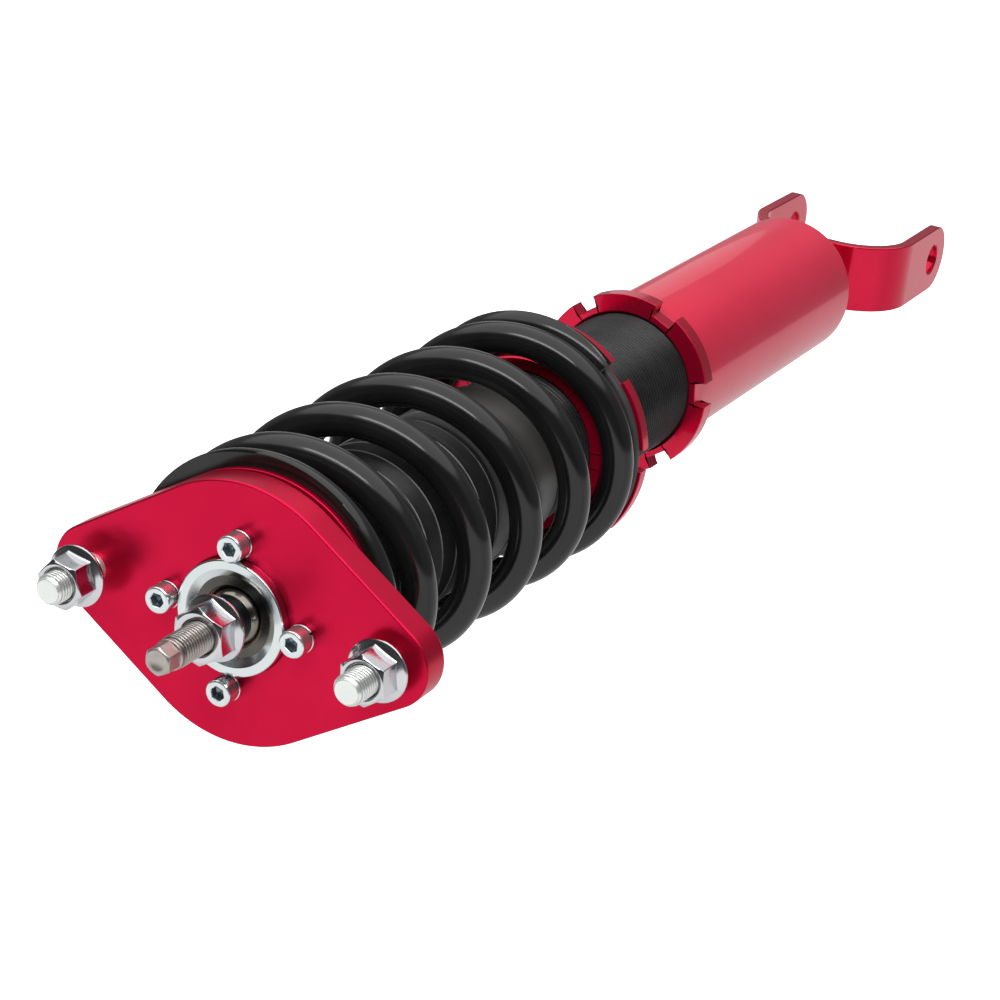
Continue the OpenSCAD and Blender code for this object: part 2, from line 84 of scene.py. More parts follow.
FORK_X, STRAP_T, STRAP_W = 35.5, 4.8, 28.5
STRAP_TOP, HOLE_Z, BEND_R, HOLE_R = -457.0, -514.5, 27.0, 6.5
EAR_Z = HOLE_Z - 2.2


# ---------------------------------------------------------------- mesh code
def grid(points, close_u=True, close_v=True):
    """Quads over an array of points[u, v]: each point joins the next one along u and along v,
    and the last one joins the first where that way is closed."""
    nu, nv = points.shape[:2]
    i, j = np.meshgrid(np.arange(nu if close_u else nu - 1),
                       np.arange(nv if close_v else nv - 1), indexing="ij")
    i2, j2 = (i + 1) % nu, (j + 1) % nv
    quads = np.stack([i * nv + j, i2 * nv + j, i2 * nv + j2, i * nv + j2], -1)
    return points.reshape(-1, 3), quads.reshape(-1, 4)


def outward(block):
    """The same closed surface with its faces turned out: the sum of the signed volumes between
    the origin and each triangle is above nought when they face out."""
    v, q = block
    a, b, c, d = (v[q[:, k]] for k in range(4))
    volume = np.sum(a * np.cross(b, c)) + np.sum(a * np.cross(c, d))
    return (v, q[:, ::-1]) if volume < 0 else block


def piece(name, body, blocks, material, stands_for=(), sharp=28.0, values=None):
    """One object from closed blocks of points and quads, given in millimetres. Points that meet
    are merged, so poles close, and edges sharper than the angle are marked sharp."""
    blocks = [outward(b) for b in blocks]
    start = np.cumsum([0] + [len(v) for v, q in blocks])
    verts = np.concatenate([v for v, q in blocks]) * 0.001
    quads = np.concatenate([q + s for (v, q), s in zip(blocks, start)])
    mesh = bpy.data.meshes.new(name)
    mesh.vertices.add(len(verts))
    mesh.vertices.foreach_set("co", verts.astype(np.float32).ravel())
    mesh.loops.add(quads.size)
    mesh.loops.foreach_set("vertex_index", quads.astype(np.int32).ravel())
    mesh.polygons.add(len(quads))
    mesh.polygons.foreach_set("loop_start", np.arange(0, quads.size, 4, dtype=np.int32))
    mesh.update(calc_edges=True)
    if values is not None:
        for key, column in values.items():
            layer = mesh.attributes.new(key, "FLOAT", "POINT")
            layer.data.foreach_set("value", column.astype(np.float32))
    tidy(mesh)
    mesh.shade_smooth()
    mesh.set_sharp_from_angle(angle=math.radians(sharp))
    obj = bpy.data.objects.new(name, mesh)
    bpy.context.scene.collection.objects.link(obj)
    mesh.materials.append(material)
    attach(obj, body)
    if stands_for:
        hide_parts(*stands_for)
    return obj


def tidy(mesh):
    """Merges points that meet and drops the faces that vanish with them."""
    work = bmesh.new()
    work.from_mesh(mesh)
    bmesh.ops.remove_doubles(work, verts=work.verts, dist=2e-7)
    bmesh.ops.dissolve_degenerate(work, edges=work.edges, dist=1e-8)
    work.to_mesh(mesh)
    work.free()
    mesh.update()


def soft_corners(path, closed=True, steps=4, hold=0.03):
    """A profile with its corners rounded. Each point is (radius, height, rounding): the corner is
    cut back along both sides by rounding times the tangent of half its turn, and an arc joins the
    cuts. A holding point sits just outside each arc, so that flat faces shade flat."""
    pts = [(np.array(p[:2], float), p[2] if len(p) > 2 else 0.0) for p in path]
    out, n = [], len(pts)
    for k, (p, r) in enumerate(pts):
        if r <= 0 or (not closed and k in (0, n - 1)):
            out.append(p)
            continue
        a, b = pts[k - 1][0] - p, pts[(k + 1) % n][0] - p
        la, lb = np.linalg.norm(a), np.linalg.norm(b)
        a, b = a / la, b / lb
        half = math.acos(np.clip(a @ b, -1, 1)) / 2
        cut = min(r / math.tan(half), la * 0.49, lb * 0.49)
        r = cut * math.tan(half)
        centre = p + (a + b) / np.linalg.norm(a + b) * r / math.sin(half)
        s, e = p + a * cut - centre, p + b * cut - centre
        out.append(p + a * min(cut + hold, la * 0.5))
        turn = math.atan2(s[0] * e[1] - s[1] * e[0], s @ e)
        t = np.linspace(0, turn, steps + 1)[:, None]
        out.extend(centre + s * np.cos(t) + np.array([-s[1], s[0]]) * np.sin(t))
        out.append(p + b * min(cut + hold, lb * 0.5))
    return np.array(out)


def turned(path, count=128, centre=(0.0, 0.0), closed=True, **kw):
    """A turned shape: the profile of (radius, height) is carried once round the axis, so each
    point is (x + radius cos a, y + radius sin a, height)."""
    prof = soft_corners(path, closed, **kw)
    a = np.arange(count) * TAU / count
    pts = np.empty((count, len(prof), 3))
    pts[..., 0] = centre[0] + np.cos(a)[:, None] * prof[:, 0]
    pts[..., 1] = centre[1] + np.sin(a)[:, None] * prof[:, 0]
    pts[..., 2] = prof[:, 1]
    return grid(pts, True, closed)


def rows(outline_rows, centre=(0.0, 0.0), turn=0.0, closed=True):
    """A shape from rows of equal length, each (x, y, z) columns round the axis, turned about the
    axis and moved to a centre. The last row joins the first where closed."""
    pts = np.stack(outline_rows, 1).astype(float)
    c, s = math.cos(turn), math.sin(turn)
    x, y = pts[..., 0] * c - pts[..., 1] * s, pts[..., 0] * s + pts[..., 1] * c
    pts[..., 0], pts[..., 1] = x + centre[0], y + centre[1]
    return grid(pts, True, closed)


def hexagon(flats, corner=0.35, flat_points=5, corner_points=6):
    """Angles and radii of a hexagon with rounded corners: on a flat the radius is half the width
    over the cosine of the angle from the flat's middle, and near a corner it is that of a small
    circle tangent to both flats."""
    half = flats / 2
    reach = (half - corner) / math.cos(math.pi / 6)
    edge = math.atan2(reach * math.sin(math.pi / 6), half)
    one = np.concatenate([np.linspace(-edge, edge, flat_points + 2),
                          np.linspace(edge, math.pi / 3 - edge, corner_points)[1:-1]])
    a = np.concatenate([one + k * math.pi / 3 for k in range(6)])
    local = (a + math.pi / 6) % (math.pi / 3) - math.pi / 6
    flat_r = half / np.cos(local)
    off = math.pi / 6 - np.abs(local)
    under = np.clip(corner ** 2 - (reach * np.sin(off)) ** 2, 0, None)
    corner_r = reach * np.cos(off) + np.sqrt(under)
    return a, np.where(np.abs(local) <= edge + 1e-9, flat_r, np.minimum(flat_r, corner_r))


def ring_row(a, r, z):
    """A row of points at angles a, radii r and heights z."""
    r, z = np.broadcast_to(r, a.shape), np.broadcast_to(z, a.shape)
    return np.stack([r * np.cos(a), r * np.sin(a), z], -1)


def flange_nut(z0, high, flats, flange, bore, centre, turn):
    """A flanged hexagon nut: a round flange with a rolled rim, a cone up to the hexagon, flats, and
    a cone at about 30 degrees cut over the corners, so each flat's top is an arc. Two rows close
    together bound each flat, so that it shades flat."""
    a, hexr = hexagon(flats, 0.45)
    rc = flats / 2 * 0.955
    cone = z0 + 1.3 + (flange - 0.35 - hexr - 0.45) * 0.36
    top = z0 + high
    arc = top - np.clip(hexr - rc, 0, None) * 0.62
    r = [ring_row(a, bore, z0 + 0.8), ring_row(a, bore + 0.8, z0),
         ring_row(a, flange - 0.5, z0), ring_row(a, flange - 0.15, z0 + 0.12),
         ring_row(a, flange, z0 + 0.5), ring_row(a, flange, z0 + 0.75),
         ring_row(a, flange - 0.12, z0 + 1.1), ring_row(a, flange - 0.4, z0 + 1.3),
         ring_row(a, flange - 0.7, z0 + 1.42),
         ring_row(a, hexr + 0.75, cone - 0.1), ring_row(a, hexr + 0.3, cone + 0.15),
         ring_row(a, hexr + 0.07, cone + 0.42), ring_row(a, hexr, cone + 0.8),
         ring_row(a, hexr, cone + 0.84), ring_row(a, hexr, arc - 0.16),
         ring_row(a, hexr, arc - 0.12), ring_row(a, hexr - 0.06, arc),
         ring_row(a, np.minimum(hexr - 0.1, rc + 0.15), top - 0.08),
         ring_row(a, rc - 0.12, top), ring_row(a, bore + 1.0, top),
         ring_row(a, bore + 0.85, top - 0.06),
         ring_row(a, bore, top - 0.9)]
    return rows(r, centre, turn)


def thread_radius(a, z, radius, depth, pitch):
    """Radius of a right-hand thread at angle a and height z: the crest's phase is height over
    pitch less the turn, and the flank falls straight from a narrow crest to a rounded root."""
    phase = (z / pitch - a / TAU) % 1.0
    fall = np.clip((np.abs(phase - 0.5) * 2 - 0.14) / 0.72, 0, 1)
    return radius - depth * (fall ** 1.15)


def groove_of(block, radius, depth, centre=(0, 0)):
    """How deep each point of a thread lies below its crest, from 0 to 1, which sets the painted
    shade in the thread's roots.
    """
    flat = 0.12
    reach = np.hypot(*(block[0][:, :2] - np.array(centre)).T)
    return np.clip((radius - flat - reach) / (depth - flat), 0, 1)


def screw_thread(z0, z1, radius, depth, pitch, count=64, per_pitch=10, bite=0.0, centre=(0, 0)):
    """A threaded bar between two heights, closed at its axis. bite is how far the thread's top is
    chamfered at 45 degrees."""
    n = int(round((z1 - z0) / pitch * per_pitch)) + 1
    z = np.linspace(z0, z1, n)
    a = np.arange(count) * TAU / count
    r = thread_radius(a[:, None], z[None, :], radius, depth, pitch)
    r = np.minimum(r, radius - bite + (z1 - z)[None, :])
    pts = np.zeros((count, n + 2, 3))
    pts[:, 1:-1, 0] = np.cos(a)[:, None] * r
    pts[:, 1:-1, 1] = np.sin(a)[:, None] * r
    pts[:, 1:-1, 2] = z
    pts[:, 0, 2], pts[:, -1, 2] = z0, z1
    pts[..., 0] += centre[0]
    pts[..., 1] += centre[1]
    return grid(pts, True, False)


def hex_bar(z0, z1, flats, dish=0.0, chamfer=0.5, corner=0.3):
    """A hexagon bar closed at its axis: upper corners chamfered, and in its top a dish whose depth
    falls with the square of the radius."""
    a, hexr = hexagon(flats, corner)
    rc = flats / 2 - chamfer * 0.6
    arc = z1 - np.clip(hexr - rc, 0, None) * 0.8
    r = [ring_row(a, 0.0, z0), ring_row(a, hexr, z0), ring_row(a, hexr, arc - 0.16),
         ring_row(a, hexr, arc - 0.12), ring_row(a, hexr - 0.08, arc),
         ring_row(a, rc + 0.1, z1 - 0.1), ring_row(a, rc - 0.08, z1), ring_row(a, rc - 0.12, z1)]
    if dish:
        span = np.linspace(1.0, 0.0, 8)
        r += [ring_row(a, flats * 0.34 * s, z1 - dish * (1 - s * s)) for s in span]
    else:
        r.append(ring_row(a, 0.0, z1))
    return rows(r, closed=False)


# ---------------------------------------------------------------- finishes
def finish_of(name, colour, rough, metal=0.0, coat=0.0, coat_rough=0.1, specular=0.5,
              tint=None, tint_scale=120.0, rough_span=0.06, grain=0.0, grain_scale=3000.0):
    """A finish: its colour wanders slowly between two tints, its roughness wanders faster, and a
    fine grain lifts the surface."""
    mat = bpy.data.materials.new(name)
    mat.use_nodes = True
    tree = mat.node_tree
    n, link = tree.nodes, tree.links.new
    bsdf = n["Principled BSDF"]
    bsdf.inputs["Metallic"].default_value = metal
    bsdf.inputs["Coat Weight"].default_value = coat
    bsdf.inputs["Coat Roughness"].default_value = coat_rough
    bsdf.inputs["Specular IOR Level"].default_value = specular
    place = n.new("ShaderNodeTexCoord")
    cloud = n.new("ShaderNodeTexNoise")
    cloud.inputs["Scale"].default_value = tint_scale
    cloud.inputs["Detail"].default_value = 4.0
    link(place.outputs["Object"], cloud.inputs["Vector"])
    ramp = n.new("ShaderNodeValToRGB")
    ramp.color_ramp.elements[0].position = 0.3
    ramp.color_ramp.elements[1].position = 0.7
    other = tint or tuple(min(1.0, c * 1.12 + 0.002) for c in colour)
    ramp.color_ramp.elements[0].color = (*colour, 1)
    ramp.color_ramp.elements[1].color = (*other, 1)
    link(cloud.outputs["Fac"], ramp.inputs["Fac"])
    link(ramp.outputs["Color"], bsdf.inputs["Base Color"])
    fine = n.new("ShaderNodeTexNoise")
    fine.inputs["Scale"].default_value = tint_scale * 4.3
    fine.inputs["Detail"].default_value = 5.0
    link(place.outputs["Object"], fine.inputs["Vector"])
    span = n.new("ShaderNodeMapRange")
    span.inputs["To Min"].default_value = max(0.02, rough - rough_span)
    span.inputs["To Max"].default_value = rough + rough_span
    link(fine.outputs["Fac"], span.inputs["Value"])
    link(span.outputs["Result"], bsdf.inputs["Roughness"])
    if grain:
        pores = n.new("ShaderNodeTexNoise")
        pores.inputs["Scale"].default_value = grain_scale
        pores.inputs["Detail"].default_value = 2.0
        link(place.outputs["Object"], pores.inputs["Vector"])
        bump = n.new("ShaderNodeBump")
        bump.inputs["Strength"].default_value = grain
        bump.inputs["Distance"].default_value = 0.0001
        link(pores.outputs["Fac"], bump.inputs["Height"])
        link(bump.outputs["Normal"], bsdf.inputs["Normal"])
    return mat


RED = finish_of("red_anodised", (0.55, 0.005, 0.040), 0.30, metal=0.9, specular=0.3,
                tint=(0.61, 0.008, 0.048), tint_scale=35, rough_span=0.03, grain=0.08,
                grain_scale=4200)
RED_TUBE = finish_of("red_anodised_tube", (0.60, 0.014, 0.050), 0.36, metal=0.55, coat=0.5,
                     coat_rough=0.05, specular=0.1, tint=(0.65, 0.017, 0.060), tint_scale=30,
                     rough_span=0.03, grain=0.03, grain_scale=4200)
RED_GLOSS = finish_of("red_anodised_turned", (0.55, 0.003, 0.036), 0.2, metal=0.85, coat=0.3,
                      coat_rough=0.05, specular=0.1, tint=(0.61, 0.005, 0.044), tint_scale=30,
                      rough_span=0.03, grain=0.03, grain_scale=4200)
ZINC = finish_of("zinc_plate", (0.66, 0.72, 0.73), 0.16, metal=1.0, tint=(0.72, 0.77, 0.77),
                 tint_scale=140, rough_span=0.04, grain=0.03, grain_scale=2600)
BRIGHT = finish_of("bright_plate", (0.60, 0.61, 0.63), 0.14, metal=1.0, tint=(0.66, 0.66, 0.69),
                   tint_scale=140, rough_span=0.04, grain=0.03, grain_scale=1500)
STEEL = finish_of("dark_steel", (0.30, 0.29, 0.28), 0.30, metal=1.0, tint=(0.40, 0.38, 0.35),
                  tint_scale=220, rough_span=0.08, grain=0.1)
BLUED = finish_of("blued_steel", (0.10, 0.14, 0.165), 0.30, metal=1.0, tint=(0.16, 0.20, 0.22),
                  tint_scale=160, rough_span=0.08, grain=0.1)
BALL = finish_of("polished_ball", (0.22, 0.20, 0.175), 0.16, metal=1.0, tint=(0.27, 0.245, 0.215),
                 tint_scale=90, rough_span=0.03)
CHROME = finish_of("rod_chrome", (0.62, 0.62, 0.62), 0.08, metal=1.0, tint=(0.68, 0.68, 0.68),
                   tint_scale=60, rough_span=0.02)
SPRING_BLACK = finish_of("black_gloss", (0.003, 0.003, 0.003), 0.15, specular=0.45,
                         tint=(0.005, 0.005, 0.005),
                         tint_scale=60, rough_span=0.04, grain=0.10, grain_scale=600)
BODY_BLACK = finish_of("black_body", (0.006, 0.006, 0.006), 0.28, specular=0.4,
                       tint=(0.011, 0.011, 0.011), tint_scale=140, rough_span=0.06, grain=0.08)
CUP_BLACK = finish_of("black_sleeve", (0.016, 0.015, 0.014), 0.32, coat=0.2, coat_rough=0.25,
                      tint=(0.024, 0.022, 0.019), tint_scale=70, rough_span=0.05, grain=0.05)
RACE = finish_of("race_steel", (0.085, 0.080, 0.070), 0.26, metal=1.0, tint=(0.12, 0.112, 0.10),
                 tint_scale=160, rough_span=0.05, grain=0.04)
RUBBER = finish_of("black_rubber", (0.014, 0.014, 0.015), 0.52, tint=(0.022, 0.022, 0.023),
                   tint_scale=150, rough_span=0.08, grain=0.2, grain_scale=1800)
FOAM = finish_of("yellow_foam", (0.60, 0.42, 0.10), 0.85, tint=(0.68, 0.50, 0.15),
                 tint_scale=300, rough_span=0.08, grain=0.5, grain_scale=1400)
ALLOY = finish_of("bare_alloy", (0.62, 0.62, 0.64), 0.28, metal=1.0, tint=(0.70, 0.70, 0.72),
                  tint_scale=200, rough_span=0.06, grain=0.08)
BRONZE = finish_of("bronze", (0.50, 0.30, 0.12), 0.32, metal=1.0, tint=(0.58, 0.37, 0.17),
                   tint_scale=200, rough_span=0.06, grain=0.08)
LINER = finish_of("liner_fabric", (0.16, 0.12, 0.08), 0.7, tint=(0.24, 0.19, 0.13),
                  tint_scale=900, rough_span=0.08, grain=0.4, grain_scale=2500)


def toned(mat, key, colour, patchy=0.0):
    """Tones a finish's colour towards another by a value stored on the mesh; here that paints shade
    or a highlight into the colour. patchy is how much a fine noise breaks that up."""
    tree = mat.node_tree
    n, link = tree.nodes, tree.links.new
    bsdf = n["Principled BSDF"]
    was = bsdf.inputs["Base Color"].links[0].from_socket
    stored = n.new("ShaderNodeAttribute")
    stored.attribute_name = key
    place = n.new("ShaderNodeTexCoord")
    # a fine noise that breaks up the painted shade or painted highlight
    painted_shading = n.new("ShaderNodeTexNoise")
    painted_shading.inputs["Scale"].default_value = 90.0
    painted_shading.inputs["Detail"].default_value = 3.0
    link(place.outputs["Object"], painted_shading.inputs["Vector"])
    share = n.new("ShaderNodeMapRange")
    share.inputs["From Min"].default_value = 0.3
    share.inputs["From Max"].default_value = 0.6
    share.inputs["To Min"].default_value = 1.0 - patchy
    link(painted_shading.outputs["Fac"], share.inputs["Value"])
    times = n.new("ShaderNodeMath")
    times.operation = "MULTIPLY"
    link(stored.outputs["Fac"], times.inputs[0])
    link(share.outputs["Result"], times.inputs[1])
    mix = n.new("ShaderNodeMix")
    mix.data_type = "RGBA"
    mix.inputs[7].default_value = (*colour, 1)
    link(times.outputs[0], mix.inputs[0])
    link(was, mix.inputs[6])
    link(mix.outputs[2], bsdf.inputs["Base Color"])
    return mat


# painted shade with a bluish painted reflection inside each hexagon socket
ZINC_SCREW = toned(
    finish_of("zinc_screw", (0.66, 0.72, 0.74), 0.20, metal=0.95, tint=(0.74, 0.78, 0.79),
              tint_scale=180, rough_span=0.03, grain=0.03), "socket", (0.20, 0.25, 0.28), 0.1)
# painted highlight: a grey line along each pleat's crest and at the cuffs
BOOT = toned(
    finish_of("pleated_rubber", (0.005, 0.005, 0.005), 0.40, specular=0.2,
              tint=(0.009, 0.009, 0.009), tint_scale=130, rough_span=0.08, grain=0.15,
              grain_scale=1500), "crest", (0.14, 0.14, 0.14), 0.9)
# painted shade: the zinc thread darkens towards the roots of its grooves
ZINC_THREAD = toned(
    finish_of("zinc_thread", (0.72, 0.75, 0.73), 0.28, metal=0.85, tint=(0.78, 0.80, 0.77),
              tint_scale=180, rough_span=0.04, grain=0.03, grain_scale=2600),
    "groove", (0.10, 0.105, 0.10), 0.1)
# painted shade: the rod's thread darkens towards its roots
ROD_THREAD = toned(
    finish_of("rod_thread", (0.42, 0.385, 0.36), 0.34, metal=0.95, tint=(0.50, 0.465, 0.44),
              tint_scale=260, rough_span=0.08, grain=0.12), "groove", (0.03, 0.024, 0.02), 0.1)
# painted shade: the black body's thread darkens further towards its roots
BODY_THREAD = toned(
    finish_of("black_thread", (0.009, 0.009, 0.009), 0.28, specular=0.22,
              tint=(0.014, 0.014, 0.014), tint_scale=140, rough_span=0.04, grain=0.02),
    "groove", (0.0004, 0.0004, 0.0004), 0.1)


# ---------------------------------------------------------------- top mount
def plate_outline(points_lobe=28, points_mid=56, points_side=6):
    """Points and outward directions round the plate: arcs of the lobe radius about each stud and
    of the plate radius about the middle, joined by straight lines along their shared tangents."""
    a = math.acos((PLATE_R - LOBE_R) / STUD_X)
    parts = []

    def arc(cx, r, lo, hi, n):
        t = np.linspace(lo, hi, n)
        d = np.stack([np.cos(t), np.sin(t)], -1)
        parts.append((np.array([cx, 0.0]) + r * d, d))

    def side(p, q, t, n):
        s = np.linspace(0, 1, n + 2)[1:-1, None]
        d = np.array([math.cos(t), math.sin(t)])
        parts.append((p + (q - p) * s, np.repeat(d[None], n, 0)))

    def at(cx, r, t):
        return np.array([cx + r * math.cos(t), r * math.sin(t)])

    arc(STUD_X, LOBE_R, -a, a, points_lobe)
    side(at(STUD_X, LOBE_R, a), at(0, PLATE_R, a), a, points_side)
    arc(0, PLATE_R, a, math.pi - a, points_mid)
    side(at(0, PLATE_R, math.pi - a), at(-STUD_X, LOBE_R, math.pi - a), math.pi - a, points_side)
    arc(-STUD_X, LOBE_R, math.pi - a, math.pi + a, points_lobe)
    side(at(-STUD_X, LOBE_R, math.pi + a), at(0, PLATE_R, math.pi + a), math.pi + a, points_side)
    arc(0, PLATE_R, math.pi + a, TAU - a, points_mid)
    side(at(0, PLATE_R, -a), at(STUD_X, LOBE_R, -a), -a, points_side)
    return np.concatenate([p for p, d in parts]), np.concatenate([d for p, d in parts])


def plate():
    """The plate as rows round its outline: outer rows are the outline moved in by an offset, inner
    rows are circles of the bore at the same bearing, and the rows go once round the section."""
    p, d = plate_outline()
    bearing = np.arctan2(p[:, 1], p[:, 0])
    round_ = np.stack([np.cos(bearing), np.sin(bearing)], -1)
    edge, low = 0.55, -PLATE_T

    def out(offset, z):
        q = p - d * offset
        return np.column_stack([q, np.full(len(q), z)])

    def inn(r, z):
        return np.column_stack([round_ * r, np.full(len(round_), z)])

    def between(share, z):
        q = (p - d * edge) * (1 - share) + round_ * 18.5 * share
        return np.column_stack([q, np.full(len(q), z)])

    r = [out(edge + 0.04, 0), out(edge, 0), out(edge * 0.62, -0.09), out(edge * 0.2, -0.3),
         out(0, -edge), out(0, -edge - 0.04), out(0, low + edge + 0.04), out(0, low + edge),
         out(edge * 0.3, low + edge * 0.3), out(edge, low), out(edge + 0.04, low),
         inn(28.2, low), inn(28.2, low + 4), inn(18.2, low + 4), inn(18.2, -0.35),
         inn(18.45, -0.1), inn(18.55, 0), between(0.5, 0)]
    return grid(np.stack(r, 1))


piece("plate", "top_mount", [plate()], RED, ["top_plate"])

piece("housing", "top_mount", [turned([
    (12.72, 1.75, 0.15), (15.2, HOUSING_TOP, 0.25), (18.15, HOUSING_TOP, 0.55), (18.15, -6.3),
    (28.0, -6.3), (28.0, -PLATE_T, 0.3), (13.9, -PLATE_T), (13.9, -8.05), (13.03, -8.05),
    (13.03, 1.6), (12.72, 1.6)], 160)], ZINC, ["bearing_housing"])


def ball_arc(radius, low, high, count):
    """Points of an arc about the ball's centre, between two angles from its equator."""
    t = np.linspace(low, high, count)
    return list(zip(radius * np.cos(t), BALL_Z + radius * np.sin(t)))


piece("race", "top_mount", [turned(
    [(12.95, 1.6, 0.3), (12.95, -8.0, 0.3)] + ball_arc(RACE_R, -0.452, 0.452, 15), 128)],
    RACE, ["bearing_race"])

piece("liner", "liner", [turned(
    ball_arc(LINER_OUT_R, -0.355, 0.355, 13) + ball_arc(LINER_IN_R, 0.385, -0.385, 13), 96)],
    LINER, ["bearing_liner"])


def stud(name, x):
    """A stud: its head let in under the plate, a plain shank in it, then thread to the end."""
    shank = turned([(0, -PLATE_T), (6.9, -PLATE_T, 0.3), (6.9, -7.3), (4.9, -7.3), (4.9, 1.5),
                    (4.55, 1.9), (0, 1.9)], 64, (x, 0), closed=False)
    rod = screw_thread(1.7, STUD_TOP - 0.5, STUD_R, STUD_THREAD, FINE_PITCH, 72, 10, 0.9, (x, 0))
    tip = turned([(0, 21.4), (3.9, 21.4), (3.9, STUD_TOP, 0.35), (0, STUD_TOP)], 64, (x, 0),
                 closed=False)
    # depth below the crest, used as painted shade in the thread's roots; none near the top end
    deep = groove_of(rod, STUD_R, STUD_THREAD, (x, 0))
    deep[rod[0][:, 2] > 21.2] = 0
    groove = np.concatenate([np.zeros(len(shank[0])), deep, np.zeros(len(tip[0]))])
    return piece(name, "top_mount", [shank, rod, tip], ZINC_THREAD,
                 ["stud_left" if x < 0 else "stud_right"], sharp=40, values={"groove": groove})


stud("stud_a", -STUD_X)
stud("stud_b", STUD_X)

# the two nuts are run on to different heights, as they come
for name, x, z, turn, node in (("nut_a", -STUD_X, 7.2, 20, "stud_nut_left"),
                               ("nut_b", STUD_X, 4.1, 8, "stud_nut_right")):
    piece(name, "top_mount", [flange_nut(z, 10.0, NUT_FLATS, NUT_FLANGE_R, 4.95, (x, 0),
                                         math.radians(turn))], BRIGHT, [node])


def screw_place(k):
    """The centre of one of the four cap screws."""
    a = k * math.pi / 2
    return SCREW_RING_R * math.cos(a), SCREW_RING_R * math.sin(a)


def cap_screw(k):
    """A socket head screw: round head with a rolled top edge, a hexagon socket with a conical
    floor, and a shank below. The socket is darkened with painted shade and a bluish painted
    reflection."""
    a, hexr = hexagon(4.0, 0.12, 5, 4)
    top, low = SCREW_TOP, WASHER_TOP
    r = [ring_row(a, 0.0, top - 3.3), ring_row(a, hexr, top - 2.6), ring_row(a, hexr, top - 0.3),
         ring_row(a, hexr, top - 0.25), ring_row(a, hexr + 0.2, top), ring_row(a, 3.55, top),
         ring_row(a, 3.62, top - 0.01), ring_row(a, 3.95, top - 0.12),
         ring_row(a, 4.17, top - 0.36), ring_row(a, 4.25, top - 0.7),
         ring_row(a, 4.25, top - 0.75), ring_row(a, 4.25, low + 0.35), ring_row(a, 4.05, low),
         ring_row(a, 2.5, low), ring_row(a, 2.5, -9.5), ring_row(a, 0.0, -9.5)]
    # painted shade and painted reflection: full on the socket's floor and lower wall, none past its
    # mouth
    inside = np.array([1, 1, 0.8] + [0] * (len(r) - 3), float)
    block = rows(r, screw_place(k), k * math.pi / 2 + math.radians(15 * k), closed=False)
    piece("cap_screw_%d_skin" % (k + 1), "top_mount", [block], ZINC_SCREW,
          ["cap_screw_%d" % (k + 1)],
          values={"socket": np.repeat(inside[None], len(a), 0).ravel()})


def split_washer(k):
    """A spring washer: a near-square section with soft corners carried round most of a turn, and
    rising a little from one end to the other."""
    c = screw_place(k)
    cut = k * math.pi / 2 + math.radians(40 + 70 * k)
    section = soft_corners([(2.62, 0.0, 0.2), (4.4, 0.0, 0.3), (4.4, 1.5, 0.3), (2.62, 1.5, 0.2)])
    section[:, 1] -= 0.15
    a = cut + np.linspace(0.09, TAU - 0.09, 72)
    rise = np.linspace(0, 0.15, 72)
    pts = np.empty((72, len(section), 3))
    pts[..., 0] = c[0] + np.cos(a)[:, None] * section[:, 0]
    pts[..., 1] = c[1] + np.sin(a)[:, None] * section[:, 0]
    pts[..., 2] = section[:, 1] + rise[:, None]
    ends = [np.repeat(pts[i].mean(0)[None, None], len(section), 1) for i in (0, -1)]
    pts = np.concatenate([ends[0], pts, ends[1]])
    piece("split_washer_%d_skin" % (k + 1), "top_mount", [grid(pts, False, True)], ZINC,
          ["split_washer_%d" % (k + 1)])


for k in range(4):
    cap_screw(k)
    split_washer(k)


# ---------------------------------------------------------------- rod, ball, seat
piece("ball", "rod", [turned(
    [(ROD_BORE_R, BALL_Z - 6.6, 0.2)] + ball_arc(BALL_R, -0.716, 0.716, 33) +
    [(ROD_BORE_R, BALL_Z + 6.6, 0.2)], 128)], BALL, ["bearing_ball"])

piece("spacer", "rod", [turned([
    (ROD_BORE_R, 3.42), (7.3, 3.42, 0.2), (7.3, 9.3, 0.5), (6.6, 10.78, 0.2),
    (ROD_BORE_R, 10.78)], 96)], BLUED, ["upper_spacer"])

piece("rod_nut_skin", "rod", [flange_nut(10.8, 9.5, ROD_NUT_FLATS, ROD_NUT_FLANGE_R, ROD_BORE_R,
                                         (0, 0), math.radians(5.3))],
      BRIGHT, ["rod_nut"])


def rod_piece():
    """The rod: chromed shaft, threaded foot, threaded top, a plain collar with chamfers, and the
    hexagon tip with its shallow dish."""
    shaft = turned([(0, -143), (SHAFT_R, -143, 0.4), (SHAFT_R, -18, 0.3), (0, -18)], 96,
                   closed=False)
    foot = screw_thread(-166, -142.5, ROD_R, 0.7, FINE_PITCH, 48, 6, 0.3)
    plain = turned([(0, -18.2), (ROD_R, -18.2), (ROD_R, 11.0), (0, 11.0)], 72, closed=False)
    top = screw_thread(10.8, 33.4, ROD_R, ROD_THREAD_DEPTH, FINE_PITCH, 80, 12, 0.7)
    neck = turned([(0, 32.9), (4.15, 32.9), (4.15, 33.5), (4.75, 34.0), (4.75, 34.7, 0.3),
                   (4.3, 35.0), (0, 35.0)], 72, closed=False)
    tip = hex_bar(34.8, 40.7, 8.0, 0.55, 0.6, corner=0.9)
    piece("rod_shaft", "rod", [shaft, foot], CHROME, sharp=35)
    # painted shade in the roots of the top thread, by depth below the crest
    groove = np.concatenate([np.zeros(len(plain[0])), groove_of(top, ROD_R, ROD_THREAD_DEPTH),
                             np.zeros(len(neck[0]) + len(tip[0]))])
    return piece("rod_top", "rod", [plain, top, neck, tip], ROD_THREAD,
                 ["piston_rod"], sharp=35, values={"groove": groove})


rod_piece()

